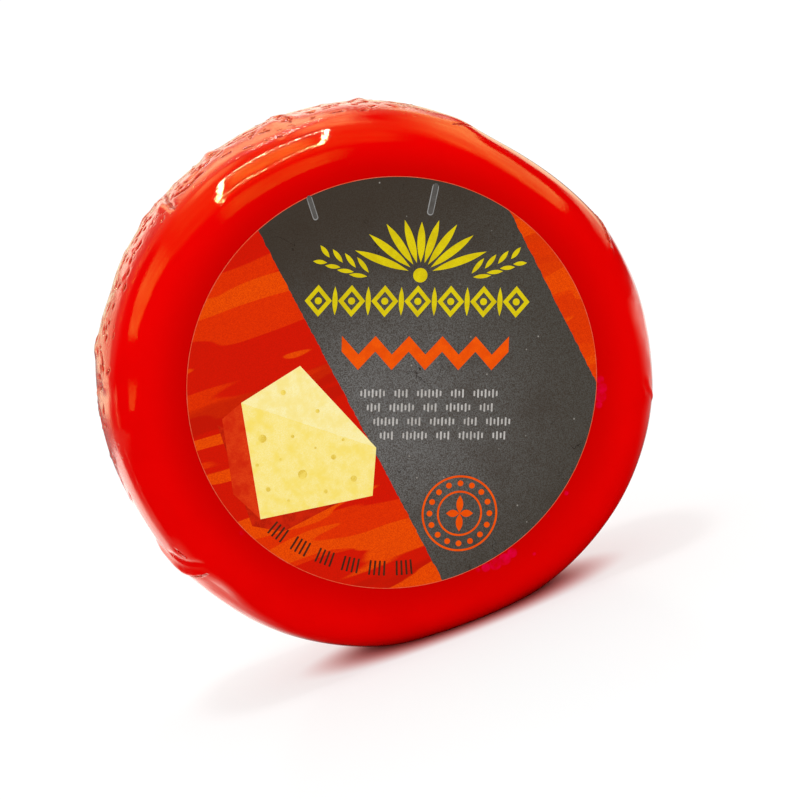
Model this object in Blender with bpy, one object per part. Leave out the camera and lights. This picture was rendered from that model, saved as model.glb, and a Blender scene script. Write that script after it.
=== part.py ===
"""A small wheel of Gouda in red wax, standing on its edge, with a round paper label on its front.

Metres, +Z up. The wheel's axis runs along Y and the label faces -Y. The origin is in the middle
of the base, so that the flat spot on which the wheel stands lies in the plane z = 0.
Directions are degrees round the axis, from +X towards +Z, as they appear from the front.
"""

import math

import bmesh
import bpy
from mathutils import Vector

# The wheel
WHEEL_RADIUS = 0.0486
WHEEL_THICKNESS = 0.0305
SHOULDER_WIDTH = 0.0115
AXIS_HEIGHT = 0.0457
OVAL_HEIGHT = 0.00035
OVAL_DIRECTION = 4
RING_STEPS = 144
SHOULDER_STEPS = 24

# Broad dents and swellings of the outline: direction, half width in degrees, height
SWELLS = (
    (39, 20, -0.0020),
    (194, 34, -0.0015),
    (322, 35, 0.0019),
)

# The second coat of wax, which overlaps the first one in a band round the rim
BAND_HALF_WIDTH = 0.0088
BAND_EDGE = 0.0016
BAND_HEIGHT = 0.0003

# Lips, folds and dents in that band: direction, place along Y, half length round the rim
# in degrees, half width along Y, height
LIPS = (
    (72.5, 0.0012, 2.4, 0.0030, 0.0010),
    (90.0, -0.0040, 2.2, 0.0034, 0.0007),
    (107.5, 0.0020, 2.2, 0.0022, 0.0006),
    (120.0, -0.0020, 1.9, 0.0050, 0.0006),
    (125.0, 0.0032, 2.4, 0.0026, 0.0005),
    (142.5, 0.0010, 4.0, 0.0045, -0.0004),
    (155.0, 0.0020, 2.6, 0.0040, 0.0005),
    (162.5, -0.0030, 3.0, 0.0040, -0.0005),
    (205.0, -0.0055, 4.5, 0.0032, 0.0007),
    (212.5, -0.0080, 5.0, 0.0030, -0.0006),
    (52.5, -0.0040, 4.5, 0.0036, 0.0006),
    (8.0, -0.0050, 4.5, 0.0030, 0.0004),
    (342.5, -0.0060, 7.0, 0.0040, 0.0004),
)

# The label, which lies in a shallow seat a little off the wheel's axis
LABEL_RADIUS = 0.0358
LABEL_THICKNESS = 0.0004
LABEL_SHIFT = Vector((0.00135, 0, 0.0004))
LABEL_GAP = 0.0003
SEAT_DEPTH = 0.0005

# Linear colours of the materials
WAX_RED = (0.78, 0.004, 0.003, 1)
LABEL_SLATE = (0.058, 0.050, 0.042, 1)


def main():
    remove_startup_objects()
    wheel = make_wheel()
    label = make_label()
    stand_on_base((wheel, label))


def remove_startup_objects():
    for thing in list(bpy.data.objects):
        bpy.data.objects.remove(thing)


def make_wheel():
    """One solid: face with the label's seat, shoulder, rim, and a plain back."""
    mesh = bmesh.new()
    spin_profile(mesh, wheel_profile())
    for vert in mesh.verts:
        vert.co = settled_point(vert.co)
    fill_open_ends(mesh)
    return finished_object("wax_wheel", mesh, material("red_wax", WAX_RED, 0.28))


def wheel_profile():
    """Points (radius, y) from the floor of the label's seat over the rim to the back face."""
    front = -WHEEL_THICKNESS / 2
    seat_radius = LABEL_RADIUS + LABEL_GAP
    points = [(seat_radius, front + SEAT_DEPTH), (seat_radius, front)]
    for step in range(SHOULDER_STEPS + 1):
        angle = math.pi * (step / SHOULDER_STEPS - 0.5)
        radius = WHEEL_RADIUS - SHOULDER_WIDTH * (1 - math.cos(angle))
        points.append((radius, WHEEL_THICKNESS / 2 * math.sin(angle)))
    return points


def spin_profile(mesh, points):
    """Turn a profile once round the Y axis."""
    verts = [mesh.verts.new((radius, y, 0)) for radius, y in points]
    edges = [mesh.edges.new(pair) for pair in zip(verts, verts[1:])]
    bmesh.ops.spin(
        mesh, geom=verts + edges, axis=(0, -1, 0), cent=(0, 0, 0),
        angle=math.tau, steps=RING_STEPS, use_merge=True)


def settled_point(point):
    """Move a point of the true wheel to where the uneven, slightly slumped wheel has it."""
    radius = math.hypot(point.x, point.z)
    direction = math.degrees(math.atan2(point.z, point.x))
    rise = max(0, 1 - (WHEEL_RADIUS - radius) / SHOULDER_WIDTH)
    radius += rise * outline_change(direction) + band_relief(direction, point.y)
    turned = math.radians(direction)
    moved = Vector((radius * math.cos(turned), point.y, radius * math.sin(turned)))
    if point.y < 0:
        moved += LABEL_SHIFT * (1 - rise)
    moved.z = max(moved.z, -AXIS_HEIGHT)
    return moved


def outline_change(direction):
    """How far the outline stands out from a circle at a direction."""
    oval = OVAL_HEIGHT * math.cos(2 * math.radians(direction - OVAL_DIRECTION))
    swells = (height * bump(turn_between(direction, middle), width) for middle, width, height in SWELLS)
    return oval + sum(swells)


def band_relief(direction, y):
    """Height of the overlapping coat of wax and of its lips and dents."""
    inside = smooth_step((BAND_HALF_WIDTH - abs(y)) / BAND_EDGE)
    lips = 0
    for middle, place, length, width, height in LIPS:
        lips += height * bump(turn_between(direction, middle), length) * bump(y - place, width)
    return inside * BAND_HEIGHT + lips


def turn_between(direction, other):
    """Signed turn from one direction to another, from -180 to 180 degrees."""
    return (direction - other + 180) % 360 - 180


def bump(distance, width):
    return math.exp(-(distance / width) ** 2)


def smooth_step(value):
    value = min(max(value, 0), 1)
    return value * value * (3 - 2 * value)


def fill_open_ends(mesh):
    """Close the seat's floor and the back with one flat face each."""
    rim_edges = [edge for edge in mesh.edges if edge.is_boundary]
    bmesh.ops.holes_fill(mesh, edges=rim_edges)


def make_label():
    """The paper disc, on the floor of its seat and a little proud of the wax."""
    mesh = bmesh.new()
    bmesh.ops.create_cone(
        mesh, cap_ends=True, segments=RING_STEPS,
        radius1=LABEL_RADIUS, radius2=LABEL_RADIUS, depth=LABEL_THICKNESS)
    floor = -WHEEL_THICKNESS / 2 + SEAT_DEPTH - LABEL_GAP
    middle = LABEL_SHIFT + Vector((0, floor - LABEL_THICKNESS / 2, 0))
    for vert in mesh.verts:
        vert.co = Vector((vert.co.x, -vert.co.z, vert.co.y)) + middle
    return finished_object("face_label", mesh, material("printed_paper", LABEL_SLATE, 0.45))


def finished_object(name, mesh, finish):
    """An object from a closed bmesh, with its faces pointing out and its round sides smooth."""
    bmesh.ops.recalc_face_normals(mesh, faces=mesh.faces)
    data = bpy.data.meshes.new(name)
    mesh.to_mesh(data)
    mesh.free()
    data.shade_smooth()
    data.set_sharp_from_angle(angle=math.radians(40))
    data.materials.append(finish)
    thing = bpy.data.objects.new(name, data)
    bpy.context.collection.objects.link(thing)
    return thing


def material(name, colour, roughness):
    finish = bpy.data.materials.new(name)
    finish.use_nodes = True
    shader = finish.node_tree.nodes["Principled BSDF"]
    shader.inputs["Base Color"].default_value = colour
    shader.inputs["Roughness"].default_value = roughness
    shader.inputs["Metallic"].default_value = 0
    return finish


def stand_on_base(things):
    """Move the meshes so that their common box stands on z = 0 over the origin."""
    points = [vert.co for thing in things for vert in thing.data.vertices]
    low = Vector([min(point[axis] for point in points) for axis in range(3)])
    high = Vector([max(point[axis] for point in points) for axis in range(3)])
    middle = (low + high) / 2
    for thing in things:
        for vert in thing.data.vertices:
            vert.co -= Vector((middle.x, middle.y, low.z))
        thing.data.update()


main()
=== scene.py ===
import math
import random

import bpy
import numpy as np
from mathutils import Matrix, Vector


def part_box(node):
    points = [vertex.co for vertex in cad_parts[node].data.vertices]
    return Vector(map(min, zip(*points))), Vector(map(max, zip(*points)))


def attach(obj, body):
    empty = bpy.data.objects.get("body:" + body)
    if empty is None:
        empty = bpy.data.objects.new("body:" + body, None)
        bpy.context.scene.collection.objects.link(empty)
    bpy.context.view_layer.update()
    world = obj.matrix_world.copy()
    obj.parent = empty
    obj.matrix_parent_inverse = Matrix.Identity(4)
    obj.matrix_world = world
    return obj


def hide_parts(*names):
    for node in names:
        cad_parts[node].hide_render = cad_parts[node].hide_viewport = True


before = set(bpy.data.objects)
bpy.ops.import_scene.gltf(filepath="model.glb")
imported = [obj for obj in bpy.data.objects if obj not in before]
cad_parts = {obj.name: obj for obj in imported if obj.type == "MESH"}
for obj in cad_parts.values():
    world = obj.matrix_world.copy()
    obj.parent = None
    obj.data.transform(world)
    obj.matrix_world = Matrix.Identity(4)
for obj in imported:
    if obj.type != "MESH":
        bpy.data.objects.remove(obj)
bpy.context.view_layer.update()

# A small Gouda in red wax that stands on its edge, with a round paper label on its front.
# Metres. Directions are degrees round the wheel's axis, from +X towards +Z, as seen from the front.
wheelLow, wheelHigh = (Vector(corner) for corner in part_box("wax_wheel"))
labelLow, labelHigh = (Vector(corner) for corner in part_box("face_label"))
labelMiddle = (labelLow + labelHigh) / 2
mm = 0.001


def linear(red, green, blue):
    # a screen colour from 0 to 255 as the linear colour that shaders want
    parts = [c / 255 for c in (red, green, blue)]
    return tuple(p / 12.92 if p <= 0.04045 else ((p + 0.055) / 1.055) ** 2.4 for p in parts) + (1,)


def startFresh():
    if bpy.context.object and bpy.context.object.mode != "OBJECT":
        bpy.ops.object.mode_set(mode="OBJECT")
    bpy.ops.object.select_all(action="DESELECT")


def pickPoints(piece, wanted):
    # in edit mode, selects the points whose place is wanted
    bpy.ops.mesh.select_mode(type="VERT")
    bpy.ops.mesh.select_all(action="DESELECT")
    bpy.ops.object.mode_set(mode="OBJECT")
    for point in piece.data.vertices:
        point.select = wanted(point.co)
    bpy.ops.object.mode_set(mode="EDIT")


def bump(distance, width):
    return np.exp(-(distance / width) ** 2)


def smoothStep(value):
    value = np.clip(value, 0, 1)
    return value * value * (3 - 2 * value)


def turnBetween(direction, other):
    return (direction - other + 180) % 360 - 180


def addNode(tree, kind, **settings):
    made = tree.nodes.new(kind)
    for name, value in settings.items():
        socket = made.inputs.get(name.replace("_", " "))
        if socket is not None and not hasattr(made, name):
            socket.default_value = value
        else:
            setattr(made, name, value)
    return made


def mixColours(tree, mask, first, second):
    mixer = addNode(tree, "ShaderNodeMix", data_type="RGBA")
    for socket, value in ((mixer.inputs[0], mask), (mixer.inputs[6], first), (mixer.inputs[7], second)):
        if isinstance(value, (tuple, float)):
            socket.default_value = value
        else:
            tree.links.new(value, socket)
    return mixer.outputs[2]


def maths(tree, operation, first, second=None):
    made = addNode(tree, "ShaderNodeMath", operation=operation)
    for socket, value in zip(made.inputs, (first, second)):
        if isinstance(value, (int, float)):
            socket.default_value = value
        elif value is not None:
            tree.links.new(value, socket)
    return made.outputs[0]


def grainGroup():
    # noise over the object's own coordinates, cut between two levels
    group = bpy.data.node_groups.new("grainMask", "ShaderNodeTree")
    group.interface.new_socket("Vector", in_out="INPUT", socket_type="NodeSocketVector")
    for name, value in (("Scale", 100), ("Detail", 3), ("Distortion", 0), ("From", 0.4), ("To", 0.6)):
        socket = group.interface.new_socket(name, in_out="INPUT", socket_type="NodeSocketFloat")
        socket.default_value = value
    group.interface.new_socket("Mask", in_out="OUTPUT", socket_type="NodeSocketFloat")
    start = group.nodes.new("NodeGroupInput")
    end = group.nodes.new("NodeGroupOutput")
    noise = addNode(group, "ShaderNodeTexNoise", Roughness=0.6)
    levels = addNode(group, "ShaderNodeMapRange", interpolation_type="SMOOTHSTEP")
    for name in ("Vector", "Scale", "Detail", "Distortion"):
        group.links.new(start.outputs[name], noise.inputs[name])
    group.links.new(noise.outputs["Fac"], levels.inputs["Value"])
    group.links.new(start.outputs["From"], levels.inputs["From Min"])
    group.links.new(start.outputs["To"], levels.inputs["From Max"])
    group.links.new(levels.outputs["Result"], end.inputs["Mask"])
    return group


grainMask = grainGroup()


def grain(tree, vector, scale, low, high, detail=3.0, distortion=0.0):
    made = addNode(tree, "ShaderNodeGroup", node_tree=grainMask)
    tree.links.new(vector, made.inputs["Vector"])
    values = {"Scale": scale, "Detail": detail, "Distortion": distortion, "From": low, "To": high}
    for name, value in values.items():
        made.inputs[name].default_value = value
    return made.outputs["Mask"]


def newMaterial(name, roughness, ior=1.45):
    material = bpy.data.materials.new(name)
    material.use_nodes = True
    shader = material.node_tree.nodes["Principled BSDF"]
    shader.inputs["Roughness"].default_value = roughness
    shader.inputs["IOR"].default_value = ior
    return material, material.node_tree, shader


def bumpFrom(tree, shader, height, distance, strength=1.0):
    made = addNode(tree, "ShaderNodeBump", Strength=strength, Distance=distance)
    tree.links.new(height, made.inputs["Height"])
    tree.links.new(made.outputs["Normal"], shader.inputs["Normal"])


waxWheel = {  # the waxed cheese, without its second coat
    "radius": 48.6 * mm, "thickness": 30.5 * mm, "shoulder": 11.5 * mm, "axisHeight": 45.7 * mm,
    "labelShift": Vector((1.35 * mm, 0, 0.4 * mm)),
    "oval": 0.35 * mm, "ovalDirection": 4,
    "swells": ((39, 20, -2.0 * mm), (194, 34, -1.5 * mm), (322, 35, 1.9 * mm)),  # direction, width, height
    "arcPoints": 112, "bandCuts": 2, "roundSteps": 860, "faceRings": 6,
    "waviness": 0.09 * mm, "waves": ((5, 0), (11, 2), (17, 4)),  # turns round the rim, shift
    "waveSlant": 260,  # radians per metre along Y
    "seed": 11,
}
degreeLength = math.radians(1) * waxWheel["radius"]  # along the rim
secondCoat = {  # the overlapping coat of wax in a band round the rim
    "halfWidth": 8.9 * mm, "edge": 2.3 * mm, "height": 0.22 * mm,
    "wander": 0.6 * mm, "wanderWaves": ((3, 10), (7, 80), (13, 200)),  # turns round the rim, shift
    "beadHeight": 0.02 * mm, "beadInset": 1.6 * mm, "beadWidth": 0.6 * mm,
    "roughDirection": 121, "roughHalf": 70, "roughFade": 18,  # degrees round the rim
    "leastThick": 0.3, "leastRough": 0.2,  # shares left where it is smooth
    "pits": 1050, "blisters": 200, "pitSpread": 0.5, "pitSlant": 0.25,
    "pitLength": (0.35, 1.4), "pitShorter": (0.4, 1), "pitWidth": (0.2, 0.34), "pitDepth": (0.14, 0.32),
    "pitReach": 6,  # in lengths, beyond which a pit isn't felt
    "pitsFrom": -5.0 * mm, "pitsTo": 0.88,  # place along Y, and share of halfWidth
    "blisterHeight": 0.6, "blisterWidth": 0.8,  # shares of a pit's depth and length
    "fissureDepth": 0.22 * mm, "dentFade": 0.8 * mm,
}
lips = (  # direction, place along Y, half length in degrees, half width, height
    (73.5, 1.8, 1.4, 2.6, 0.45),
    (92.5, -3.0, 2.6, 3.4, 0.45),
    (107.0, 2.0, 1.5, 1.6, 0.55),
    (121.5, -1.0, 1.6, 4.5, 0.4),
    (125.5, 3.2, 2.0, 2.4, 0.45),
    (142.5, 1.0, 4.0, 4.5, -0.4),
    (154.0, 2.0, 2.0, 3.4, 0.45),
    (162.5, -3.0, 3.0, 4.0, -0.5),
    (204.0, -5.5, 4.5, 3.2, 0.4),
    (212.5, -8.0, 5.0, 3.0, -0.6),
    (52.5, -4.0, 4.5, 3.6, 0.5),
    (14.0, -4.0, 4.0, 3.0, 0.1),
    (337.5, -9.0, 3.0, 2.6, 0.25),
)
folds = (  # path of (direction, place along Y), half width, height; the steep side faces lower directions
    (((93.5, 4.0), (90.5, -1.0), (89.6, -3.6), (89.3, -6.2)), 0.8, 0.45),
    (((119.0, 3.6), (120.0, -2.0), (121.0, -8.0)), 0.7, -0.5),
    (((116.5, -4.6), (112.0, -3.8), (107.5, -3.4)), 0.45, -0.35),
    (((196.0, 1.0), (200.2, -1.5), (205.0, -5.2), (208.0, -10.6)), 0.8, 0.55),
    (((199.0, -4.0), (203.0, -8.0), (205.5, -12.0)), 0.6, -0.3),
    (((18.5, -1.0), (16.8, -2.4), (15.0, -4.3), (12.8, -7.3), (10.2, -9.8), (8.0, -12.1)), 0.5, 0.2),
    (((342.0, -10.2), (338.6, -10.0), (335.0, -6.0)), 0.5, 0.2),
    (((339.5, -12.2), (336.0, -11.0)), 0.4, 0.15),
)
fissures = (  # path of (direction, place along Y in mm), half width in mm
    (((119, -3.8), (117, -5.1), (115, -5.8), (112, -5.3), (109.8, -5.5)), 0.3),
    (((105.8, -5.3), (103, -5.7)), 0.3),
    (((108.2, -2.0), (105.2, -1.8)), 0.25),
    (((101.5, -6.9), (99.2, -7.6)), 0.2),
    (((96.5, -4.7), (94, -5.7)), 0.25),
    (((96.4, -7.8), (95.9, -7.9)), 0.2),
    (((94.2, -8.3), (92.5, -8.5)), 0.2),
    (((94, -1.8), (93, -1.6)), 0.2),
    (((119, 3), (120, -3.9), (120.2, -7.5)), 0.32),
    (((91.2, -0.8), (89.8, -1.6), (89.5, -5.7)), 0.3),
    (((85.6, -6.6), (84.9, -6.6)), 0.18),
    (((81, -6.4), (78.2, -6)), 0.22),
    (((131.5, -4.7), (129.5, -4.9)), 0.32),
    (((134.5, -0.6), (133.2, -1.8)), 0.26),
    (((137.2, -5.8), (135.5, -5.7)), 0.3),
    (((140.2, -6.7), (138.8, -6.6)), 0.3),
    (((129.2, -1.2), (128.2, -2)), 0.26),
    (((151.5, -4.7), (149.8, -4.9)), 0.26),
    (((156.5, 1.8), (155, -0.6)), 0.35),
    (((158, -6.2), (157, -7.1)), 0.26),
    (((162, -1.4), (161, -3.6)), 0.32),
    (((72.8, -5.7), (71.5, -4.7)), 0.2),
    (((75.2, -6.7), (73.5, -6.6)), 0.2),
    (((55.2, -7.3), (50, -4.1)), 0.25),
    (((55, -1.4), (51.5, -0.6)), 0.25),
    (((199.2, -8.1), (202.5, -9.3)), 0.2),
    (((200.8, -0.6), (206.2, -1.8), (207.5, -10.5)), 0.36),
    (((17.4, -1.6), (15, -4.3), (12.8, -7.3), (10.2, -9.8)), 0.25),
)


def outlineChange(direction):
    change = waxWheel["oval"] * np.cos(2 * np.radians(direction - waxWheel["ovalDirection"]))
    for middle, width, height in waxWheel["swells"]:
        change = change + height * bump(turnBetween(direction, middle), width)
    return change


def turnedWheel():
    # half an ellipse, carried in to the axis at both ends and spun once round it
    half = waxWheel["thickness"] / 2
    startFresh()
    bpy.ops.mesh.primitive_circle_add(vertices=waxWheel["arcPoints"], radius=1)
    wheel = bpy.context.object
    wheel.name = "waxed_cheese"
    bpy.ops.object.mode_set(mode="EDIT")
    bpy.ops.transform.resize(value=(waxWheel["shoulder"], half, 1))
    bpy.ops.mesh.bisect(plane_co=(0, 0, 0), plane_no=(1, 0, 0), clear_inner=True, threshold=1e-6)
    pickPoints(wheel, lambda co: abs(co.y) < secondCoat["halfWidth"])
    bpy.ops.mesh.subdivide(number_cuts=waxWheel["bandCuts"])
    innerRadius = waxWheel["radius"] - waxWheel["shoulder"]
    step = innerRadius / waxWheel["faceRings"]
    for side in (-1, 1):
        pickPoints(wheel, lambda co: abs(co.x) < 1e-6 and co.y * side > 0)
        for _ in range(waxWheel["faceRings"]):
            bpy.ops.mesh.extrude_region_move(TRANSFORM_OT_translate={"value": (-step, 0, 0)})
    bpy.ops.mesh.select_all(action="SELECT")
    bpy.ops.transform.translate(value=(innerRadius, 0, 0))
    bpy.ops.mesh.spin(steps=waxWheel["roundSteps"], angle=math.tau, center=(0, 0, 0), axis=(0, 1, 0))
    bpy.ops.mesh.select_all(action="SELECT")
    bpy.ops.mesh.remove_doubles(threshold=1e-6)
    bpy.ops.mesh.normals_make_consistent(inside=False)
    bpy.ops.object.mode_set(mode="OBJECT")
    return wheel


def nearRows(order, sortedDirections, direction, reach):
    # the points within a reach in degrees of a direction
    rows = []
    for shift in (-360, 0, 360):
        first = np.searchsorted(sortedDirections, direction - reach + shift)
        last = np.searchsorted(sortedDirections, direction + reach + shift)
        rows.append(order[first:last])
    return np.concatenate(rows)


def roughShare(direction):
    # how rough the second coat is: fully over the top and left, not at all elsewhere
    away = abs(turnBetween(direction, secondCoat["roughDirection"]))
    return smoothStep((secondCoat["roughHalf"] - away) / secondCoat["roughFade"])


def scatteredDents(direction, place, random_):
    # pits along the rim, longer than wide, and round blisters, with the distance to the nearest pit
    coat = secondCoat
    relief = np.zeros_like(direction)
    pitDistance = np.full_like(direction, 4.0)
    order = np.argsort(direction)
    sortedDirections = direction[order]
    for count in range(coat["pits"] + coat["blisters"]):
        middle = random_.uniform(0, 360)
        across = random_.gauss(0, coat["pitSpread"]) * coat["halfWidth"]
        length = random_.uniform(*coat["pitLength"]) * random_.uniform(*coat["pitShorter"]) * mm
        width = random_.uniform(*coat["pitWidth"]) * mm
        depth = random_.uniform(*coat["pitDepth"]) * mm
        slant = random_.gauss(0, coat["pitSlant"])
        kept = random_.random() < roughShare(middle)
        if not kept or across < coat["pitsFrom"] or across > coat["halfWidth"] * coat["pitsTo"]:
            continue
        near = nearRows(order, sortedDirections, middle, coat["pitReach"] * length / degreeLength)
        along = turnBetween(direction[near], middle) * degreeLength
        beside = place[near] - across - slant * along
        if count < coat["pits"]:
            distance = np.hypot(along / length, beside / width)
            relief[near] -= depth * np.exp(-distance ** 3)
            pitDistance[near] = np.minimum(pitDistance[near], distance)
        else:
            rounded = bump(np.hypot(along, beside), length * coat["blisterWidth"])
            relief[near] += coat["blisterHeight"] * depth * rounded
    return relief, pitDistance


def pathDistance(direction, place, path):
    # distance to a path on the rim, the side on which it lies, and the share of the path passed
    corners = [Vector((turnBetween(d, path[0][0]) * degreeLength, y * mm)) for d, y in path]
    along = turnBetween(direction, path[0][0]) * degreeLength
    nearest = np.full_like(along, 1.0)
    side = np.zeros_like(along)
    travelled = np.zeros_like(along)
    done = 0
    for a, b in zip(corners, corners[1:]):
        length = (b - a).length
        dx, dy = (b - a) / length
        share = np.clip((along - a.x) * dx + (place - a.y) * dy, 0, length)
        offX = along - a.x - share * dx
        offY = place - a.y - share * dy
        distance = np.hypot(offX, offY)
        closer = distance < nearest
        nearest = np.where(closer, distance, nearest)
        side = np.where(closer, offX * dy - offY * dx, side)
        travelled = np.where(closer, done + share, travelled)
        done += length
    return nearest, side, travelled / done


foldShape = {"steep": 0.35, "gentle": 1.4, "fade": 4}  # reach of each side in half widths


def foldRelief(direction, place, path, width, height):
    # a lip or groove along a path, gentle on one side and steep on the other, fading at its ends
    nearest, side, share = pathDistance(direction, place, path)
    fade = smoothStep(share * foldShape["fade"]) * smoothStep((1 - share) * foldShape["fade"])
    reach = np.where(side < 0, foldShape["steep"], foldShape["gentle"]) * width * mm
    return height * mm * fade * bump(nearest, reach)


fissureShape = {
    "ragged": 0.35, "raggedWaves": ((9.7, 5200), (23.0, -3100)),  # per degree round, per metre along Y
    "endWidth": 0.35, "taper": 5,
}


def fissureDistance(direction, place):
    # distance to the nearest fissure as a share of its half width, with ragged sides
    shape = fissureShape
    uneven = 1
    for around, across in shape["raggedWaves"]:
        uneven = uneven * np.sin(direction * around + place * across)
    ragged = 1 + shape["ragged"] * uneven
    nearest = np.full_like(direction, 4.0)
    for path, width in fissures:
        distance, _, share = pathDistance(direction, place, path)
        fade = smoothStep(share * shape["taper"]) * smoothStep((1 - share) * shape["taper"])
        taper = shape["endWidth"] + (1 - shape["endWidth"]) * fade
        nearest = np.minimum(nearest, distance / (width * mm * taper * ragged))
    return nearest


def coatRelief(direction, place):
    # the second coat with its bead, lips and folds, and how much of it lies at each place
    coat = secondCoat
    waves = coat["wanderWaves"]
    wander = sum(np.cos(np.radians(direction * turns + shift)) for turns, shift in waves) / len(waves)
    limit = coat["halfWidth"] + coat["wander"] * wander
    inBand = smoothStep((limit - abs(place)) / coat["edge"])
    thick = coat["leastThick"] + (1 - coat["leastThick"]) * roughShare(direction)
    relief = inBand * coat["height"] * thick
    bead = bump(abs(place) - limit + coat["beadInset"], coat["beadWidth"])
    relief = relief + coat["beadHeight"] * thick * bead
    for middle, across, length, width, height in lips:
        near = bump(turnBetween(direction, middle), length) * bump(place - across * mm, width * mm)
        relief = relief + height * mm * near
    for path, width, height in folds:
        relief = relief + foldRelief(direction, place, path, width, height)
    return relief, inBand, limit


def settleWheel(wheel):
    # the uneven outline, the flat spot, the second coat, its pits and its fissures
    count = len(wheel.data.vertices)
    flat = np.empty(count * 3)
    wheel.data.vertices.foreach_get("co", flat)
    base = flat.reshape(-1, 3)
    radius = np.hypot(base[:, 0], base[:, 2])
    direction = np.degrees(np.arctan2(base[:, 2], base[:, 0]))
    place = base[:, 1]
    shoulder = waxWheel["shoulder"]
    rise = np.clip(1 - (waxWheel["radius"] - radius) / shoulder, 0, 1)
    half = waxWheel["thickness"] / 2

    # the normal of the smooth wheel, as a part out from the axis and a part along it
    outward = np.where(rise > 0, rise / shoulder, 0)
    sideways = place / half ** 2
    size = np.hypot(outward, sideways)
    outward, sideways = outward / size, sideways / size

    coat, inBand, bandLimit = coatRelief(direction, place)
    dents, pitDistance = scatteredDents(direction, place, random.Random(waxWheel["seed"]))
    cuts = fissureDistance(direction, place)
    dents = dents - secondCoat["fissureDepth"] * np.exp(-cuts ** 2)
    fadeIn = smoothStep((bandLimit - abs(place)) / secondCoat["dentFade"])
    slanted = place * waxWheel["waveSlant"]
    shifts = waxWheel["waves"]
    waves = sum(np.sin(np.radians(direction * turns) + slanted + shift) for turns, shift in shifts)
    waves = waxWheel["waviness"] * rise * waves / len(shifts)
    relief = coat + dents * fadeIn + waves

    # every point moved out by its relief, then settled on the floor and kept inside the CAD node's box
    swollen = radius + rise * outlineChange(direction) + relief * outward
    turned = np.radians(direction)
    moved = np.stack(
        (swollen * np.cos(turned), place + relief * sideways, swollen * np.sin(turned)), axis=1)
    frontSide = (place < 0) * (1 - rise)
    moved += np.outer(frontSide, waxWheel["labelShift"])
    moved[:, 2] = np.maximum(moved[:, 2], -waxWheel["axisHeight"])
    moved += np.array(wheelMiddle())
    moved = np.clip(moved, np.array(wheelLow), np.array(wheelHigh))
    wheel.data.vertices.foreach_set("co", moved.ravel())

    rough = inBand * (secondCoat["leastRough"] + (1 - secondCoat["leastRough"]) * roughShare(direction))
    for name, values in (("secondCoat", rough), ("pitDistance", pitDistance), ("fissureDistance", cuts)):
        attribute = wheel.data.attributes.new(name, "FLOAT", "POINT")
        attribute.data.foreach_set("value", values)
    # places unrolled round the rim, with their seam under the foot
    unrolled = np.zeros_like(moved)
    unrolled[:, 0] = (direction + 90) % 360 * degreeLength
    unrolled[:, 1] = place
    attribute = wheel.data.attributes.new("rimPlace", "FLOAT_VECTOR", "POINT")
    attribute.data.foreach_set("vector", unrolled.ravel())
    wheel.data.update()


def wheelMiddle():
    middle = labelMiddle - waxWheel["labelShift"]
    middle.y = (wheelLow.y + wheelHigh.y) / 2
    return middle


waxFinish = {
    "red": (0.80, 0.0004, 0.0004, 1), "deepRed": (0.75, 0.0003, 0.0003, 1),
    # the darker face red is painted shade beside the label
    "labelShadeRed": (0.60, 0.0003, 0.0003, 1), "tint": (1.0, 0.9, 0.2, 1),
    # the second coat's pinker colour is partly its own duller wax and partly a painted pale sheen; the pale
    # patches over it are painted glare
    "band": (0.80, 0.035, 0.022, 1), "paintedGlare": (0.82, 0.17, 0.13, 1),
    # painted shade: the dark red laid into the pits and grooves
    "pitShadeRed": (0.56, 0.0005, 0.0008, 1), "smudge": (0.78, 0.0003, 0.05, 1),
    "smoothRoughness": 0.035, "bandRoughness": 0.17, "cloudRoughness": 0.16,
    "labelShadeFrom": 34.5 * mm, "labelShadeTo": 43 * mm,  # painted shade: the face darkens towards the label
    "paintedGlareShare": 0.35, "pitShadeShare": 0.95, "pitDullness": 0.2, "cloudShare": 0.75,
    "stretch": 0.42, "pitScale": 1000, "bumpHeight": 0.1 * mm,
    # smudges beside the label: right and up from its middle, radius (mm)
    "smudges": (
        (34.4, -12.0, 0.7), (34.2, -13.5, 1.0), (33.6, -14.9, 1.0), (32.8, -16.2, 0.6),
        (22.4, -28.9, 0.4), (18.1, -31.6, 0.25), (10.0, -35.5, 0.9), (8.4, -36.1, 1.1),
        (6.6, -36.3, 1.1), (4.8, -36.3, 0.8), (3.3, -36.2, 0.4), (13.7, -37.3, 0.5),
        (-33.2, -15.1, 0.4), (41.6, -12.2, 0.4)),
}


def waxPits(tree, rim, alongRim, band):
    # small pits that the mesh is too coarse for, as dots of a cell pattern kept in clusters,
    # and the grooves and raised lips of the pits and fissures that the mesh has
    cells = addNode(tree, "ShaderNodeTexVoronoi", feature="F1", Scale=waxFinish["pitScale"], Randomness=1.0)
    tree.links.new(alongRim, cells.inputs["Vector"])
    dots = within(tree, cells.outputs["Distance"], 0.12, 0.34)
    clusters = grain(tree, rim, 240, 0.48, 0.62, detail=3.0)
    smallPits = maths(tree, "MULTIPLY", maths(tree, "MULTIPLY", dots, clusters), band)
    pitAway = addNode(tree, "ShaderNodeAttribute", attribute_name="pitDistance").outputs["Fac"]
    fissureAway = addNode(tree, "ShaderNodeAttribute", attribute_name="fissureDistance").outputs["Fac"]
    cutAway = maths(tree, "MINIMUM", pitAway, fissureAway)
    groove = within(tree, cutAway, 0.4, 1.15)
    lip = maths(tree, "SUBTRACT", within(tree, cutAway, 0.9, 2.1), groove)
    return smallPits, groove, lip


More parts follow.
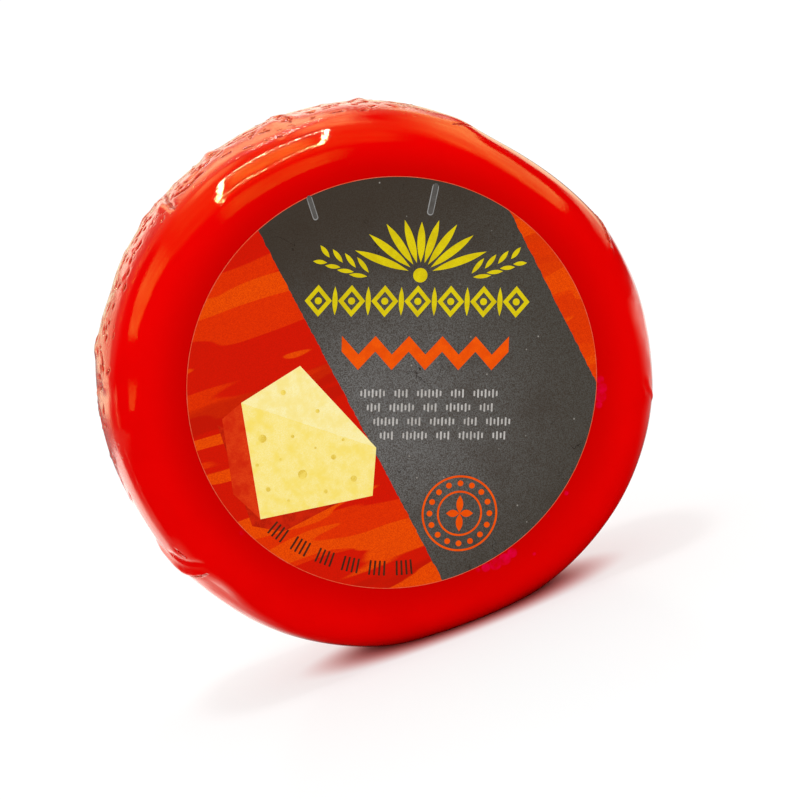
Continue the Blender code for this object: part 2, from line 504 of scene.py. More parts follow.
def waxColour(tree, place, alongRim, band, allPits):
    # red wax with painted shade beside the label, pinker and cloudy in the second coat, partly from a
    # painted pale sheen and patches of painted glare, and with painted shade deep in its pits
    finish = waxFinish
    tone = grain(tree, place, 60, 0.35, 0.7)
    colour = mixColours(tree, tone, finish["red"], finish["deepRed"])
    fromLabel = addNode(tree, "ShaderNodeVectorMath", operation="DISTANCE")
    tree.links.new(place, fromLabel.inputs[0])
    fromLabel.inputs[1].default_value = (labelMiddle.x, wheelLow.y, labelMiddle.z)
    beside = within(tree, fromLabel.outputs["Value"], finish["labelShadeFrom"], finish["labelShadeTo"])
    # painted shade: the face is darkened towards the label
    colour = mixColours(tree, beside, colour, finish["labelShadeRed"])
    # the second coat's pinker colour, partly a painted pale sheen
    bandTone = grain(tree, alongRim, 420, 0.3, 0.75, detail=5.0)
    bandShare = maths(tree, "ADD", maths(tree, "MULTIPLY", bandTone, 0.6), 0.4)
    colour = mixColours(tree, maths(tree, "MULTIPLY", band, bandShare), colour, finish["band"])
    # painted glare: pale pink patches over the second coat
    patches = maths(tree, "MULTIPLY", grain(tree, place, 150, 0.5, 0.8, detail=6.0), band)
    paintedGlare = maths(tree, "MULTIPLY", patches, finish["paintedGlareShare"])
    colour = mixColours(tree, paintedGlare, colour, finish["paintedGlare"])
    # painted shade in the pits and grooves
    pitShading = maths(tree, "MULTIPLY", allPits, finish["pitShadeShare"])
    colour = mixColours(tree, pitShading, colour, finish["pitShadeRed"])
    return mixColours(tree, smudgeMask(tree, place), colour, finish["smudge"])


def waxSheen(tree, shader, place, band, allPits):
    # glossy wax; the second coat is duller and cloudy, so it also throws back some white light
    finish = waxFinish
    wear = grain(tree, place, 900, 0.3, 0.8)
    worn = maths(tree, "ADD", maths(tree, "MULTIPLY", wear, 0.4), 0.6)
    rough = addNode(tree, "ShaderNodeMapRange",
                    To_Min=finish["smoothRoughness"], To_Max=finish["bandRoughness"])
    tree.links.new(maths(tree, "MULTIPLY", band, worn), rough.inputs["Value"])
    dull = maths(tree, "MULTIPLY", allPits, finish["pitDullness"])
    tree.links.new(maths(tree, "ADD", rough.outputs["Result"], dull), shader.inputs["Roughness"])
    shader.inputs["Coat Roughness"].default_value = finish["cloudRoughness"]
    cloudy = maths(tree, "MULTIPLY", maths(tree, "SUBTRACT", 1.0, allPits), finish["cloudShare"])
    tree.links.new(maths(tree, "MULTIPLY", band, cloudy), shader.inputs["Coat Weight"])


def waxHeight(tree, place, band, smallPits, groove, lip):
    # ripples, a few bubbles and the fine roughness of the second coat, each with its share of the bump
    fine = maths(tree, "MULTIPLY", grain(tree, place, 1400, 0.2, 0.9, detail=4.0), band)
    bubbles = addNode(tree, "ShaderNodeTexVoronoi", feature="F1", Scale=210, Randomness=1.0)
    tree.links.new(place, bubbles.inputs["Vector"])
    shares = (
        (fine, 0.5),
        (grain(tree, place, 260, 0.2, 0.8, detail=2.0), 0.12),
        (grain(tree, place, 2400, 0.2, 0.8, detail=1.0), 0.05),
        (grain(tree, place, 95, 0.2, 0.8, detail=1.0), 0.8),
        (within(tree, bubbles.outputs["Distance"], 0.0, 0.07), 0.5),
        (smallPits, -1.6),
        (lip, 1.2),
        (groove, -2.0),
    )
    height = maths(tree, "MULTIPLY", *shares[0])
    for mask, share in shares[1:]:
        height = maths(tree, "ADD", height, maths(tree, "MULTIPLY", mask, share))
    return height


def waxMaterial():
    material, tree, shader = newMaterial("redWax", waxFinish["smoothRoughness"])
    shader.inputs["Specular Tint"].default_value = waxFinish["tint"]
    place = addNode(tree, "ShaderNodeTexCoord").outputs["Object"]
    band = addNode(tree, "ShaderNodeAttribute", attribute_name="secondCoat").outputs["Fac"]
    rim = addNode(tree, "ShaderNodeAttribute", attribute_name="rimPlace").outputs["Vector"]
    stretched = addNode(tree, "ShaderNodeMapping")
    stretched.inputs["Scale"].default_value = (waxFinish["stretch"], 1, 1)
    tree.links.new(rim, stretched.inputs["Vector"])
    alongRim = stretched.outputs["Vector"]

    smallPits, groove, lip = waxPits(tree, rim, alongRim, band)
    allPits = maths(tree, "MAXIMUM", smallPits, groove)
    tree.links.new(waxColour(tree, place, alongRim, band, allPits), shader.inputs["Base Color"])
    waxSheen(tree, shader, place, band, allPits)
    height = waxHeight(tree, place, band, smallPits, groove, lip)
    bumpFrom(tree, shader, height, waxFinish["bumpHeight"], 0.8)
    return material


def within(tree, distance, near, far):
    # 1 below the near distance, 0 beyond the far one
    levels = addNode(tree, "ShaderNodeMapRange", interpolation_type="SMOOTHSTEP", To_Min=1.0, To_Max=0.0)
    levels.inputs["From Min"].default_value = near
    levels.inputs["From Max"].default_value = far
    tree.links.new(distance, levels.inputs["Value"])
    return levels.outputs["Result"]


def smudgeMask(tree, place):
    # soft round patches with ragged edges, where damp shows through beside the label
    ragged = grain(tree, place, 700, 0.2, 0.8)
    total = None
    for right, up, radius in waxFinish["smudges"]:
        away = addNode(tree, "ShaderNodeVectorMath", operation="DISTANCE")
        tree.links.new(place, away.inputs[0])
        away.inputs[1].default_value = (labelMiddle.x + right * mm, wheelLow.y, labelMiddle.z + up * mm)
        size = addNode(tree, "ShaderNodeMapRange", interpolation_type="SMOOTHSTEP")
        size.inputs["From Min"].default_value = radius * 1.1 * mm
        size.inputs["From Max"].default_value = radius * 0.8 * mm
        tree.links.new(away.outputs["Value"], size.inputs["Value"])
        patch = size.outputs["Result"]
        total = patch if total is None else maths(tree, "MAXIMUM", total, patch)
    return maths(tree, "MULTIPLY", total, ragged)


# the label and its print are drawn flat and then set on the wheel's face
paperLabel = {
    "radius": 35.8 * mm, "thickness": 0.14 * mm, "rim": 0.09 * mm, "turn": 20.6, "points": 360,
    "front": labelLow.y + 0.04 * mm, "inkHeight": 0.03 * mm, "shine": 0.02, "roughness": 0.42,
    "slateFrom": -8.35 * mm, "slateTo": 31.45 * mm, "slateTurn": 29.05,
    "slate": linear(81, 79, 74), "slateDark": linear(59, 49, 40), "slateLight": linear(119, 118, 117),
    "speck": linear(150, 145, 138), "crack": linear(30, 20, 14), "raggedEdge": 0.2 * mm,
    "lightSpot": (-4.0, -4.5), "lightFade": (2 * mm, 36 * mm),
    "topFade": (4 * mm, 34 * mm), "topShare": 0.75, "cloudShare": 0.3,
    "orange": linear(240, 80, 1), "middle": linear(230, 52, 1), "rust": linear(214, 22, 2),
    "shadow": linear(182, 20, 3), "edge": linear(222, 116, 92), "edgeShade": linear(236, 84, 44),
    "streakTurn": 18, "streakLength": 6.5,
}


def onLabel():
    # turns the drawing plane, right = X and up = Y, onto the front of the label
    middle = Vector((labelMiddle.x, paperLabel["front"], labelMiddle.z))
    turn = Matrix.Rotation(math.radians(paperLabel["turn"]), 4, "Y")
    return Matrix.Translation(middle) @ turn @ Matrix.Rotation(math.radians(90), 4, "X")


def settle(piece, height):
    # gives a flat drawing its thickness, puts it on the label and leaves it at the origin
    startFresh()
    piece.select_set(True)
    bpy.context.view_layer.objects.active = piece
    wall = piece.modifiers.new("paperWall", "SOLIDIFY")
    wall.thickness = height + paperLabel["inkHeight"] * 0.5
    wall.offset = -1
    bpy.ops.object.modifier_apply(modifier=wall.name)
    for vert in piece.data.vertices:
        vert.co.z += height
    piece.matrix_world = onLabel()
    bpy.ops.object.transform_apply(location=True, rotation=True, scale=True)


def disc(x, y, radius, points=28):
    startFresh()
    bpy.ops.mesh.primitive_circle_add(
        vertices=points, radius=radius * mm, fill_type="NGON", location=(x * mm, y * mm, 0))
    return bpy.context.object


def ring(x, y, radius, width, points=64):
    made = disc(x, y, radius, points)
    bpy.ops.object.mode_set(mode="EDIT")
    bpy.ops.mesh.inset(thickness=width * mm)
    bpy.ops.mesh.delete(type="FACE")
    bpy.ops.object.mode_set(mode="OBJECT")
    return made


def bar(x, y, length, height, turn=0.0, rounding=0.3):
    startFresh()
    bpy.ops.mesh.primitive_plane_add(
        size=1, location=(x * mm, y * mm, 0), rotation=(0, 0, math.radians(turn)))
    made = bpy.context.object
    made.scale = (length * mm, height * mm, 1)
    bpy.ops.object.transform_apply(location=False, rotation=False, scale=True)
    bpy.ops.object.mode_set(mode="EDIT")
    bpy.ops.mesh.bevel(affect="VERTICES", offset=rounding * mm, segments=4)
    bpy.ops.object.mode_set(mode="OBJECT")
    return made


def leaf(x, y, length, width, turn):
    # a lozenge whose two side corners are rounded off, so that both tips stay sharp
    made = disc(0, 0, 1, 4)
    made.scale = (length / 2, width / 2, 1)
    bpy.ops.object.transform_apply(location=False, rotation=False, scale=True)
    bpy.ops.object.mode_set(mode="EDIT")
    pickPoints(made, lambda co: abs(co.x) < 1e-6)
    bpy.ops.mesh.bevel(affect="VERTICES", offset=length * 0.36 * mm, segments=8)
    bpy.ops.object.mode_set(mode="OBJECT")
    made.rotation_euler.z = math.radians(turn)
    made.location = (x * mm, y * mm, 0)
    return made


def polygon(corners):
    made = disc(0, 0, 1, len(corners))
    for vert, (x, y) in zip(made.data.vertices, corners):
        vert.co = (x * mm, y * mm, 0)
    return made


def joined(name, shapes, material, height):
    # one printed colour: its shapes joined, thickened and set on the label
    startFresh()
    for shape in shapes:
        shape.select_set(True)
    bpy.context.view_layer.objects.active = shapes[0]
    if len(shapes) > 1:
        bpy.ops.object.join()
    piece = bpy.context.object
    bpy.ops.object.transform_apply(location=True, rotation=True, scale=True)
    piece.name = name
    bpy.ops.object.mode_set(mode="EDIT")
    bpy.ops.mesh.select_all(action="SELECT")
    bpy.ops.mesh.normals_make_consistent(inside=False)
    bpy.ops.object.mode_set(mode="OBJECT")
    facingUp = sum(face.normal.z * face.area for face in piece.data.polygons)
    if facingUp < 0:
        piece.data.flip_normals()
    piece.data.materials.clear()
    piece.data.materials.append(material)
    settle(piece, height)
    return piece


def printGrain(tree, place, colour, darker, amount=0.5):
    # the fine grain of print, over whatever colour it is given
    fine = grain(tree, place, 5600, 0.3, 0.7, detail=2.0)
    return mixColours(tree, maths(tree, "MULTIPLY", fine, amount), colour, darker)


def inkMaterial(name, colour, second):
    # printed ink with a faint mottle and the paper's grain
    material, tree, shader = newMaterial(name, paperLabel["roughness"])
    shader.inputs["Specular IOR Level"].default_value = paperLabel["shine"]
    place = addNode(tree, "ShaderNodeTexCoord").outputs["Object"]
    mottled = mixColours(tree, grain(tree, place, 500, 0.35, 0.7), colour, second)
    tree.links.new(printGrain(tree, place, mottled, second, 0.8), shader.inputs["Base Color"])
    bumpFrom(tree, shader, grain(tree, place, 2500, 0.2, 0.8), 0.01 * mm, 0.4)
    return material


def slatePaint(tree, place, upLabel):
    # slate: brown at the top, lighter round its middle, with dark cracks and a few pale specks
    look = paperLabel
    spot = addNode(tree, "ShaderNodeVectorMath", operation="DISTANCE")
    tree.links.new(place, spot.inputs[0])
    right, up = look["lightSpot"]
    spot.inputs[1].default_value = (labelMiddle.x + right * mm, look["front"], labelMiddle.z + up * mm)
    light = within(tree, spot.outputs["Value"], *look["lightFade"])
    slate = mixColours(tree, light, look["slate"], look["slateLight"])
    topEdge = addNode(tree, "ShaderNodeMapRange", interpolation_type="SMOOTHSTEP", To_Max=look["topShare"])
    for name, value in zip(("From Min", "From Max"), look["topFade"]):
        topEdge.inputs[name].default_value = value
    tree.links.new(upLabel, topEdge.inputs["Value"])
    slate = mixColours(tree, topEdge.outputs["Result"], slate, look["slateDark"])
    cloud = maths(tree, "MULTIPLY", grain(tree, place, 170, 0.45, 0.75, detail=7.0), look["cloudShare"])
    slate = mixColours(tree, cloud, slate, look["slateDark"])
    slate = printGrain(tree, place, slate, look["slateDark"], 0.9)
    slate = mixColours(tree, crackMask(tree, place), slate, look["crack"])
    return mixColours(tree, speckMask(tree, place), slate, look["speck"])


def streakPaint(tree, place, slant):
    # streaks of orange over rust; the field on the right is lighter
    look = paperLabel
    drawnOut = addNode(tree, "ShaderNodeMapping", vector_type="TEXTURE")
    drawnOut.inputs["Rotation"].default_value = (0, math.radians(look["turn"] - look["streakTurn"]), 0)
    drawnOut.inputs["Scale"].default_value = (look["streakLength"], 1, 1)
    tree.links.new(place, drawnOut.inputs["Vector"])
    along = drawnOut.outputs["Vector"]
    onRight = maths(tree, "GREATER_THAN", slant, 0.0)
    broad = grain(tree, along, 215, 0.555, 0.57, detail=1.2, distortion=0.25)
    lighter = grain(tree, along, 130, 0.36, 0.38, detail=1.0, distortion=0.2)
    lighter = maths(tree, "MULTIPLY", lighter, maths(tree, "MULTIPLY", onRight, 0.5))
    middle = grain(tree, along, 170, 0.5, 0.53, detail=1.5, distortion=0.3)
    deep = maths(tree, "MULTIPLY", grain(tree, along, 120, 0.54, 0.6, detail=3.0, distortion=0.2), 0.6)
    deep = maths(tree, "SUBTRACT", deep, maths(tree, "MULTIPLY", onRight, 0.16))
    paint = mixColours(tree, middle, look["rust"], look["middle"])
    paint = mixColours(tree, deep, paint, look["shadow"])
    paint = mixColours(tree, maths(tree, "MAXIMUM", broad, lighter), paint, look["orange"])
    return printGrain(tree, place, paint, look["shadow"], 0.5)


def labelMaterial():
    # a slanted slate field between two fields of streaky orange
    look = paperLabel
    material, tree, shader = newMaterial("printedPaper", look["roughness"])
    shader.inputs["Specular IOR Level"].default_value = look["shine"]
    place = addNode(tree, "ShaderNodeTexCoord").outputs["Object"]
    flat = addNode(tree, "ShaderNodeMapping", vector_type="TEXTURE")
    flat.inputs["Location"].default_value = (labelMiddle.x, look["front"], labelMiddle.z)
    flat.inputs["Rotation"].default_value = (0, math.radians(look["turn"] - look["slateTurn"]), 0)
    tree.links.new(place, flat.inputs["Vector"])
    across = addNode(tree, "ShaderNodeSeparateXYZ")
    tree.links.new(flat.outputs["Vector"], across.inputs["Vector"])

    uneven = maths(tree, "SUBTRACT", grain(tree, place, 700, 0.3, 0.7, detail=5.0), 0.5)
    slant = maths(tree, "ADD", across.outputs["X"], maths(tree, "MULTIPLY", uneven, look["raggedEdge"]))
    inside = maths(tree, "MULTIPLY", maths(tree, "GREATER_THAN", slant, look["slateFrom"]),
                   maths(tree, "LESS_THAN", slant, look["slateTo"]))
    slate = slatePaint(tree, place, across.outputs["Z"])
    paint = streakPaint(tree, place, slant)
    tree.links.new(mixColours(tree, inside, paint, slate), shader.inputs["Base Color"])
    bumpFrom(tree, shader, grain(tree, place, 1800, 0.2, 0.8, detail=4.0), 0.015 * mm, 0.5)
    return material


def crackMask(tree, place):
    # thin dark cracks in the slate print, only in some places
    bent = addNode(tree, "ShaderNodeTexNoise", Scale=180, Detail=6, Distortion=0.8)
    tree.links.new(place, bent.inputs["Vector"])
    middle = maths(tree, "ABSOLUTE", maths(tree, "SUBTRACT", bent.outputs["Fac"], 0.5))
    patches = grain(tree, place, 70, 0.56, 0.66, detail=3.0)
    return maths(tree, "MULTIPLY", within(tree, middle, 0.002, 0.007), patches)


def speckMask(tree, place):
    cells = addNode(tree, "ShaderNodeTexVoronoi", feature="F1", Scale=340, Randomness=1.0)
    tree.links.new(place, cells.inputs["Vector"])
    return within(tree, cells.outputs["Distance"], 0.02, 0.07)


def makeLabel():
    look = paperLabel
    label = disc(0, 0, look["radius"] / mm, look["points"])
    label.name = "paper_label"
    label.data.materials.append(labelMaterial())
    label.data.materials.append(inkMaterial("cutPaperEdge", look["edge"], look["edgeShade"]))
    bpy.ops.object.mode_set(mode="EDIT")
    bpy.ops.mesh.select_all(action="SELECT")
    bpy.ops.mesh.inset(thickness=look["rim"])
    bpy.ops.object.mode_set(mode="OBJECT")
    for face in label.data.polygons:
        face.material_index = 0 if len(face.vertices) == look["points"] else 1
    wall = label.modifiers.new("paper", "SOLIDIFY")
    wall.thickness = look["thickness"]
    wall.offset = -1
    wall.material_offset_rim = 1
    bpy.ops.object.modifier_apply(modifier=wall.name)
    label.matrix_world = onLabel()
    bpy.ops.object.transform_apply(location=True, rotation=True, scale=True)
    return label


inks = {  # each ink's colour and its shade
    "yellowInk": (linear(228, 210, 18), linear(206, 184, 14)),
    "orangeInk": (linear(246, 92, 6), linear(228, 76, 6)),
    "greyInk": (linear(198, 194, 190), linear(172, 167, 162)),
    "darkInk": (linear(62, 30, 20), linear(84, 40, 22)),
    "shadeInk": (linear(160, 20, 4), linear(206, 36, 8)),
    "creamInk": (linear(252, 242, 184), linear(248, 228, 140)),
    "cheeseInk": (linear(251, 235, 160), linear(247, 222, 106)),
    "rindInk": (linear(226, 66, 20), linear(206, 36, 8)),
    "holeInk": (linear(210, 170, 36), linear(247, 222, 106)),
    # the film blisters are drawn flat, with a painted grey highlight for their outlines and painted shade
    # for their hollows
    "film": (linear(122, 120, 118), linear(152, 150, 148)),
    "filmHollowShade": (linear(96, 93, 90), linear(80, 76, 72)),
}

# places and sizes on the label are in millimetres from its middle, and turns in degrees
sheafDesign = {
    "middle": 4.0, "foot": 18.9, "berry": 1.25,
    "leaves": 9, "fan": 17.5, "gap": 2.2, "length": 7.0, "longer": 0.75, "width": 2.3,
    "sprayLeaves": 4, "sprayFrom": (9.6, 19.3), "sprayStep": (2.2, 0.75), "sprayShorter": 0.25,
    # place aside and up, length, width, turn, and what is added to the turn outwards
    "sprayPair": ((0.4, 1.3, 3.4, 1.3, 90, -38), (1.2, -0.5, 3.2, 1.2, 0, 6)),
}


def sheaf():
    # a fan of leaves over a berry, with a small spray to each side
    design = sheafDesign
    middle, foot = design["middle"], design["foot"]
    shapes = [disc(middle, foot, design["berry"])]
    for step in range(design["leaves"]):
        outward = step - design["leaves"] // 2
        turn = 90 + outward * design["fan"]
        angle = math.radians(turn)
        length = design["length"] + design["longer"] * abs(outward)
        reach = design["gap"] + length / 2
        x, y = middle + reach * math.cos(angle), foot + reach * math.sin(angle)
        shapes.append(leaf(x, y, length, design["width"], turn))
    for side in (-1, 1):
        for step in range(design["sprayLeaves"]):
            x = middle + side * (design["sprayFrom"][0] + design["sprayStep"][0] * step)
            y = design["sprayFrom"][1] + design["sprayStep"][1] * step
            shorter = design["sprayShorter"] * step
            for aside, up, length, width, turn, more in design["sprayPair"]:
                shapes.append(leaf(x + side * aside, y + up, length - shorter, width, turn + side * more))
    return shapes


lozengeDesign = {
    "count": 7, "middle": 3.7, "up": 14.4, "spacing": 5.75, "half": (2.35, 2.75), "stroke": 0.72,
    "dot": 0.62, "leafLength": 5.0, "leafWidth": 1.5,
}


def lozengeBand():
    # open lozenges with a dot inside, and an upright leaf between each two
    design = lozengeDesign
    up, spacing = design["up"], design["spacing"]
    shapes = []
    for step in range(design["count"]):
        x = design["middle"] + (step - design["count"] // 2) * spacing
        made = disc(0, 0, 1, 4)
        made.scale = (*design["half"], 1)
        bpy.ops.object.transform_apply(location=False, rotation=False, scale=True)
        bpy.ops.object.mode_set(mode="EDIT")
        bpy.ops.mesh.select_all(action="SELECT")
        bpy.ops.mesh.inset(thickness=design["stroke"] * mm)
        bpy.ops.mesh.delete(type="FACE")
        bpy.ops.object.mode_set(mode="OBJECT")
        made.location = (x * mm, up * mm, 0)
        shapes += [made, disc(x, up, design["dot"], 16)]
        if step < design["count"] - 1:
            shapes.append(leaf(x + spacing / 2, up, design["leafLength"], design["leafWidth"], 90))
    return shapes


zigzagDesign = {"left": -9.3, "width": 29.2, "low": 2.5, "high": 8.4, "stroke": 2.7, "turns": 10}


def zigzag():
    # a bold chevron band
    design = zigzagDesign
    stroke, turns = design["stroke"], design["turns"]
    xs = [design["left"] + design["width"] * step / turns for step in range(turns + 1)]
    ys = [design["low"] + stroke if step % 2 else design["high"] for step in range(turns + 1)]
    return [polygon(((xs[step], ys[step] - stroke), (xs[step + 1], ys[step + 1] - stroke),
                     (xs[step + 1], ys[step + 1]), (xs[step], ys[step]))) for step in range(turns)]


tickDesign = {
    "rows": 4, "groups": 5, "corner": (-6.0, -1.55), "rowStep": (1.2, -2.45),
    "lengths": (4.6, 2.6), "gap": 1.35, "pitch": 0.66, "width": 0.3, "heights": (0.95, 1.45),
}


def tickRows():
    # rows of fine upright ticks, in long and short groups by turns
    design = tickDesign
    shapes = []
    for row in range(design["rows"]):
        x = design["corner"][0] + design["rowStep"][0] * row
        y = design["corner"][1] + design["rowStep"][1] * row
        for group in range(design["groups"]):
            length = design["lengths"][(row + group) % 2]
            ticks = round(length / design["pitch"])
            for step in range(ticks):
                place = x + (step + 0.5) * length / ticks
                shapes.append(bar(place, y, design["width"], design["heights"][step % 2], rounding=0.1))
            x += length + design["gap"]
    return shapes


roundelDesign = {
    "middle": (12.2, -22.6), "rings": ((6.7, 0.36, 96), (4.0, 0.34, 64)),  # radius, stroke, points
    "dots": 16, "dotCircle": 5.3, "dotRadius": 0.52, "petals": (2.4, 3.2), "petalWidth": 1.9,
}


def roundel():
    # two rings with dots between them, and four petals inside
    design = roundelDesign
    x, y = design["middle"]
    shapes = [ring(x, y, radius, stroke, points) for radius, stroke, points in design["rings"]]
    circle = design["dotCircle"]
    for step in range(design["dots"]):
        angle = math.radians(360 / design["dots"] * step)
        dotX, dotY = x + circle * math.cos(angle), y + circle * math.sin(angle)
        shapes.append(disc(dotX, dotY, design["dotRadius"], 14))
    for step in range(4):
        angle = math.radians(90 * step)
        length = design["petals"][step % 2]
        shapes.append(leaf(x + length * 0.5 * math.cos(angle), y + length * 0.5 * math.sin(angle),
                           length, design["petalWidth"], 90 * step))
    return shapes


dashDesign = {
    "radius": 32.2, "length": 2.6, "width": 0.34, "groups": 6, "dashes": 4,
    "first": -129.5, "groupStep": 8.4, "dashStep": 1.5,
}


def darkDashes():
    # even groups of short dashes along the label's lower edge
    design = dashDesign
    radius = design["radius"]
    shapes = []
    for group in range(design["groups"]):
        for step in range(design["dashes"]):
            turn = design["first"] + design["groupStep"] * group + design["dashStep"] * step
            x, y = radius * math.cos(math.radians(turn)), radius * math.sin(math.radians(turn))
            shapes.append(bar(x, y, design["length"], design["width"], turn, 0.1))
    return shapes


wedgeDesign = {
    "shade": ((-30.4, -7.0), (-24.0, -24.6), (-18.6, -25.6), (-9.0, -20.6), (-20.0, -12.0)),
    "top": ((-26.4, -3.2), (-16.4, 3.2), (-2.8, -11.0)),
    "side": ((-26.4, -3.2), (-2.8, -11.0), (-3.2, -19.4), (-22.6, -23.4)),
    "rind": ((-29.6, -6.0), (-26.4, -3.2), (-22.6, -23.4), (-27.4, -19.0)),
    "holes": (  # middle, radius
        (-22.6, -9.4, 0.7), (-15.5, -15.6, 0.8), (-10.2, -12.6, 0.45), (-21.4, -18.2, 0.4),
        (-6.6, -16.4, 0.55), (-17.4, -9.0, 0.3), (-11.4, -18.6, 0.35), (-19.4, -13.0, 0.25),
        (-13.2, -4.6, 0.35), (-19.2, -1.4, 0.45), (-8.6, -9.6, 0.25), (-23.4, -14.0, 0.3),
        (-13.4, -11.0, 0.2), (-17.8, -20.2, 0.25)),
}


def cheeseWedge():
    # a plain wedge of cheese: its shade, top, cut side and rind, and the small holes in it
    shade, top, side, rind = ([polygon(wedgeDesign[part])] for part in ("shade", "top", "side", "rind"))
    holes = [disc(x, y, radius, 20) for x, y, radius in wedgeDesign["holes"]]
    return shade, top, side, rind, holes


filmDesign = {  # middle, length, width, turn, rounding
    "outlineHighlights": ((-14.95, 30.2, 4.3, 0.95, 109.5, 0.45), (5.8, 31.9, 5.5, 1.15, 79.6, 0.55)),
    "hollowShades": ((-15.0, 30.35, 4.2, 0.66, 109.5, 0.32), (5.85, 32.05, 5.4, 0.84, 79.6, 0.41)),
}


def film():
    # two long blisters of film at the label's upper edge, drawn flat: their outlines as a painted grey
    # highlight and their hollows as painted shade
    outlineHighlight = [bar(*numbers) for numbers in filmDesign["outlineHighlights"]]
    hollowShade = [bar(*numbers) for numbers in filmDesign["hollowShades"]]
    return outlineHighlight, hollowShade


def makePrint():
    ink = {name: inkMaterial(name, *colours) for name, colours in inks.items()}
    plain = paperLabel["inkHeight"] * 0.6
    raised = paperLabel["inkHeight"]
    shade, top, side, rind, holes = cheeseWedge()
    outlineHighlight, hollowShade = film()
    return [
        joined("print_sheaf", sheaf(), ink["yellowInk"], plain),
        joined("print_lozenges", lozengeBand(), ink["yellowInk"], plain),
        joined("print_chevrons", zigzag(), ink["orangeInk"], plain),
        joined("print_ticks", tickRows(), ink["greyInk"], plain),
        joined("print_roundel", roundel(), ink["orangeInk"], plain),
        joined("print_dark_dashes", darkDashes(), ink["darkInk"], plain),
        joined("print_wedge_shade", shade, ink["shadeInk"], plain / 2),
        joined("print_wedge_top", top, ink["creamInk"], plain),
        joined("print_wedge_side", side, ink["cheeseInk"], plain),
        joined("print_wedge_rind", rind, ink["rindInk"], plain),
        joined("print_wedge_holes", holes, ink["holeInk"], raised),
        joined("film_outline", outlineHighlight, ink["film"], plain),
        joined("film_hollow", hollowShade, ink["filmHollowShade"], raised),
    ]


ceiling = 0.646
studio = {
    "distance": 560 * mm, "azimuth": -7.0, "elevation": 12.2, "roll": 19.0,
    "focalPixels": 3258.9, "frameWidth": 800, "sensor": 36,
    "target": Vector((1.46, -15.25, -2.55)) * mm,  # from the wheel's middle
    "cardsFade": (0.22, 0.22), "edgeGlow": 130.0, "edgeDrop": 2 * mm, "shineStep": 0.5 * mm,
    "backdropPlace": 3.0, "sunStrength": 0.22, "sunWidth": 9,
}
studioCards = (  # name, range along X, range along Y, height, strength, share of blue
    ("softbox", (-0.2, 0.11), (-0.14, 0.12), ceiling, 2.4, 0.35),
    ("halo", (-0.62, 0.5), (-0.36, 0.4), 0.66, 0.4, 0.35),
    ("backCeiling", (-0.38, 0.34), (0.16, 0.75), ceiling, 2.2, 0.55),
    ("farCeiling", (-1.3, 1.1), (0.75, 3.0), ceiling, 1.8, 0.85),
    ("leftStrip", (-1.5, -0.45), (-0.25, 0.22), ceiling, 1.7, 0.35),
    ("leftWindow", (-3.4, -1.3), (-0.5, 0.1), 0.3, 1.1, 0.35),
    ("rightCard", (0.3, 2.4), (-0.1, 1.3), ceiling, 1.3, 0.3),
    ("frontCeiling", (-0.3, 0.24), (-0.95, -0.3), ceiling, 0.9, 0.35),
)
# what the wax reflects in place of the floor
floorShines = (  # ranges along X and Y, turn, strength, share of each side that fades
    ("floorShine", (-1.6, 0.45), (0.06, 3.0), 0, 0.22, (0.3, 0.05)),
    ("floorShineLeft", (-0.392, 0.048), (0.065, 0.225), -24, 1.75, (0.35, 0.25)),
    ("floorShineNear", (-0.1, 0.0), (-0.003, 0.075), 0, 1.1, (0.35, 0.3)),
    ("floorShineRight", (0.0, 0.27), (0.0, 0.42), 0, 1.0, (0.38, 0.2)),
)
backdrops = (  # ranges along X and Z, strength, share of blue, share of each side that fades
    ("backdrop", (-8, 6.4), (-0.25, ceiling), 1.2, 0.65, (0.38, 0.25)),
    ("backdropLeft", (-6.5, -0.6), (-0.1, 1.6), 0.8, 0.7, (0.3, 0.15)),
)
studioColours = {"edge": (1, 1, 1.3, 1), "white": (1, 1, 0.95, 1)}
softboxEdges = (  # width, path
    (0.012, ((-0.195, 0.100), (-0.225, -0.160))),
    (0.004, ((-0.222, -0.190), (-0.217, -0.280))),
    (0.009, ((0.145, 0.165), (0.105, -0.120))),
    (0.003, ((-0.195, 0.100), (-0.060, 0.095), (-0.040, 0.108), (0.145, 0.165))),
    (0.003, ((-0.225, -0.150), (-0.110, -0.165), (-0.030, -0.165), (0.050, -0.125), (0.105, -0.120))),
)


def makeCamera():
    target = wheelMiddle() + studio["target"]
    a, e = math.radians(studio["azimuth"]), math.radians(studio["elevation"])
    back = Vector((math.sin(a) * math.cos(e), -math.cos(a) * math.cos(e), math.sin(e)))
    data = bpy.data.cameras.new("camera")
    data.sensor_width = studio["sensor"]
    data.lens = studio["sensor"] * studio["focalPixels"] / studio["frameWidth"]
    camera = bpy.data.objects.new("camera", data)
    bpy.context.scene.collection.objects.link(camera)
    look = (-back).to_track_quat("-Z", "Y").to_matrix().to_4x4()
    roll = Matrix.Rotation(math.radians(-studio["roll"]), 4, "Z")
    camera.matrix_world = Matrix.Translation(target + back * studio["distance"]) @ look @ roll
    bpy.context.scene.camera = camera
    return camera


